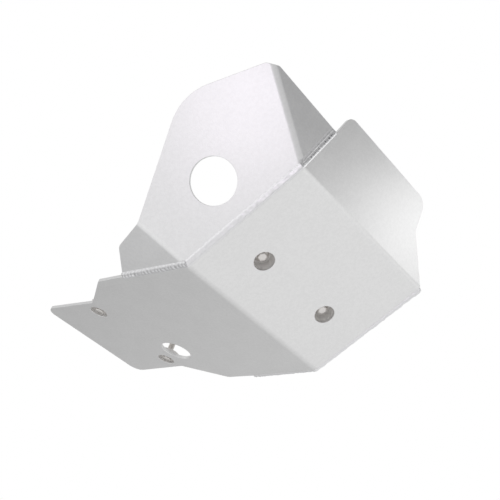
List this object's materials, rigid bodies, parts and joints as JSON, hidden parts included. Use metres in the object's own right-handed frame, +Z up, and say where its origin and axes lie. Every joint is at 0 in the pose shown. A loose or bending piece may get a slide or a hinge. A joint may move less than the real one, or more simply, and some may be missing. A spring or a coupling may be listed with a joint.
{
  "type": "motorcycle skid plate",
  "caption": "Folded sheet metal guard for under and in front of a motorcycle engine, with flared side wings welded along its edges and mounting bolts recessed in cups.",
  "frame": {"origin": "on the outer face of the belly, midway between the two rear bolts", "axes": "+X forward, +Y to the rider's left, +Z up; the belly's outer face is Z = 0"},
  "size_m": [0.4422, 0.3614, 0.1975],
  "materials": {
    "plate": "fine bead-blasted satin",
    "right_wing": "fine bead-blasted satin",
    "left_wing": "fine bead-blasted satin",
    "cup": "machined, dulled",
    "bolt": "zinc plated",
    "weld": "rippled weld bead",
    "cup_weld": "rippled weld bead"
  },
  "bodies": {
    "root": {"main_plate": "plate", "right_wing": "right_wing", "left_wing": "left_wing", "slope_cup_right": "cup", "slope_cup_left": "cup", "rear_cup_right": "cup", "rear_cup_left": "cup", "slope_bolt_right": "bolt", "slope_bolt_left": "bolt", "rear_bolt_right": "bolt", "rear_bolt_left": "bolt", "weld_right_belly": "weld", "weld_right_slope": "weld", "weld_right_front": "weld", "weld_left_belly": "weld", "weld_left_slope": "weld", "slope_cup_weld_right": "cup_weld", "slope_cup_weld_left": "cup_weld", "rear_cup_weld_right": "cup_weld", "rear_cup_weld_left": "cup_weld"}
  },
  "joints": []
}
